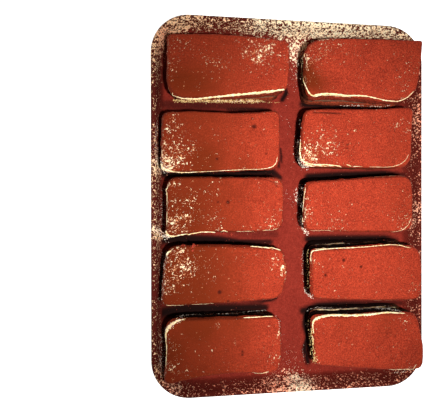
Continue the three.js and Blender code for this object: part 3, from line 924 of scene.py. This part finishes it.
for number, portion in enumerate(PORTIONS):
    node = f"{portion}_top_cream"
    top = fine_copy(node, TOP_VOXEL)
    points = places(top)
    facing_up = np.clip(normals(top)[:, 2], 0, 1)
    seed = LAYER_SEEDS["top_cream"] + 10 * number
    roughen(top, TOP_RELIEF, seed, facing_up)
    roughen(top, SIDE_RELIEF, seed + 5, 1 - facing_up)

    sunk = top_sum(points, PITS[portion])
    for path in CREASES.get(portion, []):
        sunk = np.maximum(sunk, path_nearness(points, path, TOP_HEIGHT))
    moved = places(top)
    moved[:, 2] -= sunk * (facing_up > 0.5)
    set_places(top, moved)

    height = points[:, 2]
    lip = height.max() - LIP_DROP
    inside = edge_profile(points)
    past_lip = np.where(height < lip, lip - height + 1, LIP_WIDTH - inside)
    ragged, lump_size = BARE_RAGGEDNESS
    reach = compass_share(from_middle(points), COCOA_REACH[portion])
    reach = reach + ragged * lumps(points, lump_size, seed + 7)
    thin = top_sum(points, THIN_COCOA[portion]) * THIN_SHARE + THIN_EVERYWHERE
    thin += THIN_EDGE * np.exp(-((inside / THIN_EDGE_WIDTH) ** 2))
    thin *= np.where(height < lip - 1, THIN_SIDE_SHARE, 1)
    # Painted shade and damp cocoa, and on the left-hand tops a painted soft shadow toward the west.
    damp_and_shade = top_sum(points, SHADED_DAMP_COCOA[portion])
    if portion.startswith("left"):
        west_share = np.clip((LEFT_SHADE_EDGE - points[:, 0]) / LEFT_SHADE_WIDTH + 0.5, 0, 1)
        damp_and_shade += LEFT_BROWN_SHADE[portion] * west_share * west_share * (3 - 2 * west_share)
    set_attribute(top, "bare_cream", np.clip((past_lip - reach - 1) / BARE_FADE, 0, 1))
    set_attribute(top, "thin_cocoa", np.clip(thin, 0, 1))
    set_attribute(top, "damp_and_shade", np.clip(damp_and_shade, 0, 1))
    # Painted shade: the holes and cracks are darkened by their depth.
    shaded_pits = np.clip(sunk * PIT_SHADE - PIT_SHALLOW, 0, PIT_DARKEST)
    set_attribute(top, "shaded_pits", shaded_pits * (facing_up > 0.3))
    finish_layer(top, node, SIFTED_COCOA)


# Bare cream shows at the cut edges of the tops, where the knife dragged it up through the
# cocoa. These are thin beads of cream, and a few that ran down a side, pressed on the surface.
# Each path is pixels of the photograph, from one end to the other, with the bead's width in mm.
CREAM_BEADS = {
    "left_1": [
        [(169.4, 93.8, .7), (175, 96.2, .8), (182.3, 98.3, 1), (195.7, 98.7, 1.5), (206.4, 97.7, 1.8),
         (222.5, 96.4, 2.3), (236.8, 95, 2.5), (249.3, 93.7, 2.5), (262.7, 92.1, 2.5), (276, 90.4, 2.5),
         (284.5, 89.3, 2.7)],
        [(284.5, 89.6, 1.6), (282, 94, 1), (279.6, 98.5, .9), (267, 99.2, .7), (253.7, 99.6, .5)],
    ],
    "left_2": [
        [(158, 163, 2.2), (162, 168, 3), (167, 170, 2.4), (173, 171.5, 1.6), (181, 172.5, 1.2),
         (191, 172.3, .8), (201, 171.8, .5), (221, 170.8, .4), (231, 170.2, .45), (246, 169.4, .5),
         (258, 169.4, .4), (267, 168.6, .5), (273, 166.6, .7), (276.4, 162.6, .7), (277.4, 156, .4)],
    ],
    "left_3": [
        [(166.3, 186, .8), (165.8, 198, .6), (165.4, 206, .5)],
        [(165.2, 211, .5), (165, 219, .7), (165, 226, .5)],
        [(159, 231, 2.2), (163, 235.5, 2.8), (168, 237, 2.2), (176, 237, 1.6), (184, 235.7, 1.1),
         (191, 233.6, 1), (201, 232, 1.2), (209, 231.8, 1.2), (216, 232.4, .8)],
        [(220.5, 233, .5), (221.6, 230.8, .7), (225.6, 230.6, .8), (227.4, 232.6, .7), (227.8, 236.4, .6)],
        [(236, 233, .3), (246, 232.5, .35), (254, 232, .3)],
        [(262, 231.4, .3), (272, 230.6, .35), (279, 229, .3)],
    ],
    "left_4": [
        [(166.5, 256, 2), (168, 252.5, 2), (172, 250.5, 1.2)],
        [(250, 245.3, .7), (258, 245.5, 1.3), (263, 246, 1.3), (271, 247.5, 1.1), (278, 249.5, 1),
         (281.5, 250.5, .8)],
        [(166, 305.8, .6), (174, 306, .4), (184, 305, .3)],
        [(191, 304.4, .3), (204, 304, .3), (214, 303.6, .3)],
    ],
    "left_5": [
        [(186, 318.8, .8), (178, 320.6, 1.4), (171.6, 324, 2.3), (167.4, 328.4, 2.8), (166, 334, 2.2),
         (166.2, 342, .9), (166, 356, .7), (164.6, 368, .5)],
        [(243, 317.8, .6), (250, 317.6, 1.1), (256, 317.2, 1), (266, 316.5, .9), (273.5, 316.4, .8)],
        [(252, 375.5, .5), (260, 374, .6), (269, 371.5, .6)],
    ],
    "right_1": [
        [(301.6, 52, .6), (301.8, 70, .7), (303.4, 81, .9), (308.7, 92.5, 1.1), (312, 95.7, 1.3),
         (318.6, 94.4, 1.6), (326.4, 93.7, 1.9), (335, 94, 2), (346.2, 95.4, 1.8), (359.2, 95.7, 1.6),
         (367.8, 96.4, 1.3), (376.4, 98.3, 1.2), (385, 100.5, 1.3), (397, 101.3, 1.4), (402.2, 99.8, 1),
         (407.4, 97.4, .8), (414, 91, .7)],
        [(313.3, 101, .6), (319.3, 102, .7), (328.8, 101.8, .7), (341.7, 102.7, .6), (352, 103.8, .4)],
    ],
    "right_2": [
        [(300.5, 142, .8), (299.8, 152, 1.2), (301.5, 160, 1.6), (306.5, 163.2, 1.2), (313, 164.4, 1.2),
         (325, 164.5, 1.1), (333, 165.3, 1), (340, 166, 1.1), (341.6, 167.6, .8)],
        [(303.5, 166.5, 1), (308, 168.4, 1), (313, 169.3, .9), (320, 169, .8), (335, 168.4, .6)],
        [(346, 164.5, .9), (349.5, 165.4, 1.1), (351.5, 166.6, .9)],
        [(352, 166.6, .3), (357, 166.4, .5), (363, 166.6, .3)],
        [(369, 166.8, .3), (375, 167, .3), (385, 167.2, .35), (392.5, 166.8, .35), (400.5, 164.4, .4),
         (405.5, 160.4, .4), (409, 154, .3)],
    ],
    "right_3": [
        [(305.6, 187, .6), (304.2, 196, .6), (303.2, 206, .6), (302.6, 216, .5), (302.8, 226, .5)],
        [(310, 231.5, .3), (322, 231.6, .25), (334, 231.8, .25)],
        [(390, 232, .25), (397, 231.4, .3), (403.5, 229.3, .35), (408.5, 224.6, .35), (411.2, 218, .3)],
    ],
    "right_4": [
        [(310.8, 262, .6), (310.8, 255, .8), (312, 251, 1.1), (320.5, 249.8, 1.1), (335.5, 248.4, 1),
         (350.5, 247.8, 1), (360.5, 247.1, 1), (368.5, 246.5, 1), (380.5, 245.5, .9), (388.5, 244.8, .9),
         (395.5, 245, .9), (400.5, 245.5, .8), (405.5, 247, .7), (411.5, 248, .5)],
        [(314.5, 244.7, .5), (325.5, 243.9, .5), (335.5, 243.9, .5), (345.5, 243.8, .4)],
    ],
    "right_5": [
        [(314, 334, .5), (313, 329, .9), (312.6, 325, 1.4), (313.6, 320.6, 2.2), (317, 318.2, 3),
         (321.5, 316.8, 2.9), (328.5, 315.5, 2.7), (335.5, 315.2, 2.7), (342.5, 315.4, 3.1),
         (346.5, 315.8, 3.9), (352.5, 315.6, 3.9), (360.5, 315.2, 3.7), (368.5, 314.9, 3.1),
         (375.5, 314, 2.6), (382.5, 313, 2.6), (388.5, 312.4, 2.4), (393.5, 312.8, 1.7), (398.5, 313, 1.3),
         (405.5, 313.4, .9)],
        [(312.8, 329, .6), (311, 333, .8), (309.6, 338, .8), (309.4, 342, .7), (308.6, 346, .5)],
        [(390, 379.5, .7), (402, 377, .9), (412, 371, .9), (416.5, 364, .6)],
    ],
}
LIP_HEIGHT = 38
SIDE_HEIGHT = 12
BEAD_SEED = 900
BEAD_STEP = 0.7
BEAD_SIDES = 8
BEAD_HEIGHT = 1.1
BEAD_HIGHEST_HALF = 0.9
BEAD_WANDER = (0.05, 0.6)
BEAD_ROUGHNESS = (0.5, 1.4)
BEAD_TAPER_STEPS = 3
BEAD_END = 0.15
BEAD_WELD = 0.001
BEAD_LIGHT = (1.0, 0.93, 0.62, 1)
BEAD_STAINED = (0.85, 0.48, 0.16, 1)


def make_bead_material():
    material, tree = new_material("bare cream edge", {
        "Roughness": 0.45, "Specular IOR Level": 0.4, "Subsurface Weight": 0.1,
        "Subsurface Radius": (0.002, 0.001, 0.0006), "Subsurface Scale": 0.5,
    })
    join_finish(tree, *powder(tree, BEAD_LIGHT, BEAD_STAINED, 320.0, 1000.0, 0.35), 0.4, 0.0003)
    return material


def surface_tree(pieces):
    """A search tree of the pieces' surfaces, in millimetres."""
    points, faces = [], []
    for piece in pieces:
        start = len(points)
        points += [v.co / MM for v in piece.data.vertices]
        faces += [tuple(start + i for i in polygon.vertices) for polygon in piece.data.polygons]
    return BVHTree.FromPolygons(points, faces)


def find_seen(tree, pixel_x, pixel_y, height):
    """The place and normal on the surface that the photograph shows at a pixel."""
    eye = CAMERA_PLACE / MM
    ray = Vector(seen_at(pixel_x, pixel_y, 0)) - eye
    place, normal, _, _ = tree.ray_cast(eye, ray.normalized())
    if place is None or place.z < height - SIDE_HEIGHT:
        place, normal, _, _ = tree.find_nearest(Vector(seen_at(pixel_x, pixel_y, height)))
    return place, normal


def path_lengths(path):
    """How far along a path of pixels each of its points lies."""
    return np.concatenate([[0], np.cumsum(np.hypot(*np.diff(path[:, :2], axis=0).T))])


def along_path(path, lengths, at):
    """A path's values at the given distances along it."""
    return np.column_stack([np.interp(at, lengths, values) for values in path.T])


def smoothed(values, weights, ends):
    """Evens out each column of a table of values by its neighbours in the rows."""
    reach = len(weights) // 2
    columns = [np.pad(column, reach, **ends) for column in values.T]
    return np.column_stack([np.convolve(column, weights, "valid") for column in columns])


def bead_rings(tree, path, height, random):
    """The rings of one bead of cream along a path, on the surface it lies on."""
    path = np.array(path, float)
    lengths = path_lengths(path)
    count = max(int(lengths[-1] / BEAD_STEP), 4)
    pixels = along_path(path, lengths, np.linspace(0, lengths[-1], count))
    ends = {"mode": "reflect", "reflect_type": "odd"}
    pixels[:, :2] = smoothed(pixels[:, :2], np.ones(5) / 5, ends)
    step, share = BEAD_WANDER
    wander = np.cumsum(random.normal(0, step, count))
    pixels[:, 1] += (wander - np.linspace(wander[0], wander[-1], count)) * share
    found = [find_seen(tree, x, y, height) for x, y, _ in pixels]
    centres, ups = (
        smoothed(np.array([tuple(vector) for vector in vectors]), (0.25, 0.5, 0.25), {"mode": "edge"})
        for vectors in zip(*found)
    )
    across = np.cross(ups, np.gradient(centres, axis=0))
    across /= np.linalg.norm(across, axis=1)[:, None] + 1e-9
    ups /= np.linalg.norm(ups, axis=1)[:, None] + 1e-9
    order = np.arange(count)
    knots = np.arange(0, count + 3, 2)
    rough = np.interp(order, knots, random.uniform(*BEAD_ROUGHNESS, len(knots)))
    taper = np.minimum(1, np.minimum(order, order[::-1]) / BEAD_TAPER_STEPS + BEAD_END)
    half = pixels[:, 2] * rough * taper / 2
    turns = np.linspace(0, 2 * math.pi, BEAD_SIDES, endpoint=False)
    rings = []
    for centre, up, side, reach in zip(centres, ups, across, half):
        rise = min(reach, BEAD_HIGHEST_HALF) * BEAD_HEIGHT
        rings.append([centre + side * math.cos(t) * reach + up * math.sin(t) * rise for t in turns])
    return rings


BARE_EDGE = make_bead_material()

for number, portion in enumerate(PORTIONS):
    tree = surface_tree([bpy.data.objects[f"{portion}_{layer}_fine"] for layer in LAYER_SEEDS])
    random = np.random.default_rng(BEAD_SEED + number)
    points, faces = [], []
    for path in CREAM_BEADS[portion]:
        rings = bead_rings(tree, path, LIP_HEIGHT, random)
        faces += join_rings(rings, len(points))
        points += [point for ring in rings for point in ring]
    bead = mesh_piece(f"{portion}_cream_edge", points, faces)
    weld(bead, BEAD_WELD)
    bead.data.materials.append(BARE_EDGE)
    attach(bead, "root")


# Flecks of cream and crumbs of cocoa fell beside the portions when they were lifted and cut,
# and lie along their feet, in the gaps and on the tops. Each bed is a path of pixels of the
# photograph, how far the bits stray from it in pixels, their number, and their size in mm.
CREAM_FLECK_BEDS = [
    ([(299, 44), (298, 60), (298, 66)], 1.6, 40, 0.75),
    ([(296, 72), (296.5, 76), (300, 80)], 0.9, 24, 0.75),
    ([(299.6, 119), (300.4, 127)], 0.8, 16, 0.8),
    ([(298.6, 139), (298, 147), (298.4, 156), (301, 163), (306, 167)], 1.7, 170, 1.0),
    ([(301, 187), (298, 195), (299.5, 205)], 2.2, 120, 0.95),
    ([(299, 213), (300.5, 221)], 1.3, 24, 0.8),
    ([(300.5, 220), (303, 228), (308, 235)], 1.1, 90, 0.95),
    ([(303, 248), (302.3, 262), (302.8, 276), (303.5, 286)], 0.6, 40, 0.5),
    ([(304.5, 288), (307, 293), (311, 297)], 1.0, 60, 0.9),
    ([(200, 101.2), (215, 100.8), (230, 100.9), (262, 101.2)], 0.5, 60, 0.85),
    ([(284, 112), (296, 150), (296, 172)], 3.0, 26, 0.45),
    ([(287, 190), (297, 215), (298, 226)], 3.2, 34, 0.45),
    ([(284, 334), (290, 352), (294, 370)], 3.4, 24, 0.4),
    ([(290, 50), (294, 90)], 3.0, 24, 0.5),
    ([(340, 105.6), (352, 105.5), (364, 105.6)], 0.35, 44, 0.65),
    ([(367, 105.8), (382, 106.6), (390, 105.8)], 0.35, 34, 0.55),
    ([(156, 160), (160, 167), (168, 171)], 2.0, 110, 0.85),
    ([(154, 228), (160, 233), (168, 238)], 2.0, 110, 0.9),
    ([(157, 122), (156, 145), (157, 160)], 1.8, 90, 0.5),
    ([(164, 190), (163, 210), (162, 226)], 1.4, 100, 0.55),
    ([(165, 252), (163, 268), (162, 286), (162, 302)], 1.8, 150, 0.55),
    ([(183, 319), (172, 324), (166, 331)], 1.2, 60, 0.8),
    ([(163.5, 332), (162.5, 350), (161.5, 366), (162.5, 376)], 1.7, 130, 0.6),
    ([(276, 316), (279, 321), (279.5, 330)], 0.8, 14, 0.6),
    ([(307, 322), (308, 328)], 0.8, 8, 0.7),
    ([(394, 373), (404, 372), (411, 369)], 0.8, 26, 0.7),
]
GOLDEN_FLECK_BEDS = [
    ([(173, 100.4), (185, 101), (200, 100.8), (262, 101.2)], 0.9, 620, 0.8),
    ([(262, 102.2), (280, 102.4)], 0.4, 24, 0.6),
    ([(307.5, 250), (308, 262), (308, 276), (308, 288)], 1.1, 90, 0.75),
    ([(311.5, 330), (312, 344), (313, 354), (314.5, 362)], 1.3, 150, 0.9),
    ([(309, 318), (308, 326)], 1.2, 20, 0.7),
    ([(302, 48), (302, 70), (304, 88)], 1.0, 30, 0.5),
    ([(300, 142), (301, 160)], 1.2, 30, 0.6),
    ([(184, 319), (172, 325), (166, 332)], 1.2, 40, 0.6),
    ([(155, 162), (162, 170)], 2, 40, 0.6),
    ([(155, 232), (163, 237)], 2, 40, 0.6),
]
# Cream flecks coloured grey as painted shade, along the shaded north feet and undercuts.
SHADED_FLECK_BEDS = [
    ([(176, 317.5), (185, 315), (196, 314.2), (225, 313.6), (241, 312.6), (255, 311), (266, 310.2)],
     0.3, 200, 0.55),
    ([(306, 311.5), (310, 309), (316, 307.6), (335, 308.3), (360, 308.8), (376, 307.6), (392, 309.4),
      (401, 311.5)], 0.35, 200, 0.55),
    ([(376, 308), (392, 309), (401, 311)], 0.9, 50, 0.55),
    ([(314, 244.6), (330, 243.8), (350, 243.6)], 0.3, 30, 0.4),
    ([(303.6, 345), (302.8, 352), (304, 360)], 0.3, 24, 0.45),
]
COCOA_CRUMB_BEDS = [
    ([(190, 249), (194, 245), (197, 246)], 0.9, 12, 1.9),
    ([(181, 246), (184, 245)], 0.7, 5, 1.6),
    ([(231, 234), (231.6, 235)], 0.3, 4, 2.1),
    ([(249.6, 373.2), (250.4, 373.4)], 0.15, 3, 3.4),
    ([(244, 374), (254, 374.5)], 0.5, 5, 1.5),
    ([(223.4, 232.2), (224.6, 232.4)], 0.2, 3, 2.0),
    ([(276, 244), (279, 246)], 0.5, 6, 1.2),
    ([(276, 182), (280, 187)], 0.7, 8, 1.3),
    ([(290, 30), (292, 100), (290, 160), (292, 240), (296, 300), (298, 380)], 3.0, 90, 0.6),
]
CRUMBS_ON_TOPS = 1400
TOPS_ACROSS = (164, 416)
TOPS_DOWN = (32, 378)
TOP_CRUMB_SIZES = (0.35, 0.85)
TOP_CRUMB_POWER = 1.5
BIT_SIZES = (0.55, 1.35)
BIT_ROUGHNESS = (0.65, 1.3)
BIT_WIDTHS = (0.5, 1)
BIT_TIPPING = 0.35
BIT_LIFT = 0.15
BIT_SEED = 41


def stray_pixels(bed, random):
    """Pixels scattered along a path."""
    path, stray, count, size = bed
    path = np.array(path, float)
    lengths = path_lengths(path)
    pixels = along_path(path, lengths, random.uniform(0, lengths[-1], count))
    sizes = size * random.uniform(*BIT_SIZES, count)
    return np.column_stack([pixels + random.normal(0, stray, (count, 2)), sizes])


def land_on_surfaces(spots):
    """Where the photograph's pixels lie on the food and the tray, with the sizes of the bits."""
    depsgraph = bpy.context.evaluated_depsgraph_get()
    landed = []
    for pixel_x, pixel_y, size in spots:
        ray = Vector(seen_at(pixel_x, pixel_y, 0)) * MM - CAMERA_PLACE
        hit, place, normal, *_ = bpy.context.scene.ray_cast(depsgraph, CAMERA_PLACE, ray.normalized())
        if hit and place.z > TRAY_FLOOR * MM * 0.5:
            landed.append((*(place / MM + normal * size * BIT_LIFT), size))
    return np.array(landed)


def make_bits(name, landed, flatness, random):
    """One mesh of small rough lumps, each turned its own way."""
    lump = bmesh.new()
    bmesh.ops.create_icosphere(lump, subdivisions=1, radius=0.5)
    shape = np.array([tuple(v.co) for v in lump.verts])
    sides = np.array([[v.index for v in f.verts] for f in lump.faces])
    lump.free()
    count = len(landed)
    rough = shape[None] * random.uniform(*BIT_ROUGHNESS, (count, len(shape), 1))
    widths = random.uniform(*BIT_WIDTHS, count)
    rough *= np.stack([np.ones(count), widths, np.full(count, flatness)], 1)[:, None]
    turn = random.uniform(0, 2 * math.pi, count)[:, None]
    tip = random.normal(0, BIT_TIPPING, count)[:, None]
    x, y, z = (rough[:, :, i] for i in range(3))
    y, z = y * np.cos(tip) - z * np.sin(tip), y * np.sin(tip) + z * np.cos(tip)
    x, y = x * np.cos(turn) - y * np.sin(turn), x * np.sin(turn) + y * np.cos(turn)
    centres, sizes = landed[:, None, :3], landed[:, None, 3:]
    points = np.stack([x, y, z], 2) * sizes + centres
    faces = sides[None] + np.arange(count)[:, None, None] * len(shape)
    return mesh_piece(name, points.reshape(-1, 3), faces.reshape(-1, 3).tolist())


def make_bit_material(name, light, dark, roughness):
    material, tree = new_material(name, {"Roughness": roughness, "Specular IOR Level": 0.3})
    join_finish(tree, *powder(tree, light, dark, 350.0, 1400.0, 0.1), 0.4, 0.0002)
    return material


bpy.context.view_layer.update()
random = np.random.default_rng(BIT_SEED)
BITS = [
    ("cream_flecks", CREAM_FLECK_BEDS, 0.6, (1.0, 0.94, 0.8, 1), (1.0, 0.7, 0.5, 1), 0.5, "cream"),
    ("golden_flecks", GOLDEN_FLECK_BEDS, 0.6, (1.0, 0.82, 0.38, 1), (0.75, 0.42, 0.12, 1), 0.5, "cream"),
    # The grey flecks are cream with painted shade.
    ("shaded_flecks", SHADED_FLECK_BEDS, 0.6, (0.75, 0.66, 0.56, 1), (0.3, 0.22, 0.16, 1), 0.6,
     "cream"),
    ("cocoa_crumbs", COCOA_CRUMB_BEDS, 0.75, COCOA_LIGHT, COCOA_DARK, 0.95, "cocoa"),
]
for name, beds, flatness, light, dark, roughness, slot in BITS:
    spots = np.concatenate([stray_pixels(bed, random) for bed in beds])
    if name == "cocoa_crumbs":
        limits = (TOPS_ACROSS, TOPS_DOWN, TOP_CRUMB_SIZES)
        on_tops = np.column_stack([random.uniform(*limit, CRUMBS_ON_TOPS) for limit in limits])
        on_tops[:, 2] **= TOP_CRUMB_POWER
        spots = np.concatenate([spots, on_tops])
    bits = make_bits(name, land_on_surfaces(spots), flatness, random)
    bits.data.materials.append(make_bit_material(name.replace("_", " "), light, dark, roughness))
    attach(bits, "root")


# A plain pale floor, and one soft lamp that hangs near the camera, over the tray's middle. Its
# narrow cone fades toward the tray's corners, and the room's own light is weak.
FLOOR_SIZE = 6.0
LAMP_PLACE = Vector((-0.060, -0.040, 0.48))
LAMP_AIM = Vector((0.010, 0.003, 0.03))
LAMP_POWER = 16.8
LAMP_RADIUS = 0.012
LAMP_CONE = math.radians(62)
LAMP_STRETCH = (0.92, 1.1, 1)
ROOM_LIGHT = 0.13

corners = np.array([(-1, -1, 0), (1, -1, 0), (1, 1, 0), (-1, 1, 0)]) * FLOOR_SIZE / 2 / MM
floor = mesh_piece("floor", corners, [(0, 1, 2, 3)])
floor_material = new_material("pale floor", {
    "Base Color": (0.92, 0.92, 0.92, 1), "Roughness": 0.9, "Specular IOR Level": 0.1,
    "Emission Color": (1, 1, 1, 1), "Emission Strength": 1.0,
})[0]
floor.data.materials.append(floor_material)

lamp_data = bpy.data.lights.new("lamp", "SPOT")
lamp_data.energy = LAMP_POWER
lamp_data.shadow_soft_size = LAMP_RADIUS
lamp_data.spot_size = LAMP_CONE
lamp_data.spot_blend = 1.0
lamp = bpy.data.objects.new("lamp", lamp_data)
lamp.location = LAMP_PLACE
toward = (LAMP_AIM - LAMP_PLACE).normalized()
lamp.rotation_euler = (math.asin(toward.y), -math.atan2(toward.x, -toward.z), 0)
lamp.scale = LAMP_STRETCH
bpy.context.scene.collection.objects.link(lamp)

world = bpy.data.worlds.new("room")
bpy.context.scene.world = world
world.use_nodes = True
room = world.node_tree.nodes["Background"]
room.inputs["Color"].default_value = (1, 1, 1, 1)
room.inputs["Strength"].default_value = ROOM_LIGHT

bpy.context.scene.view_settings.view_transform = "Standard"
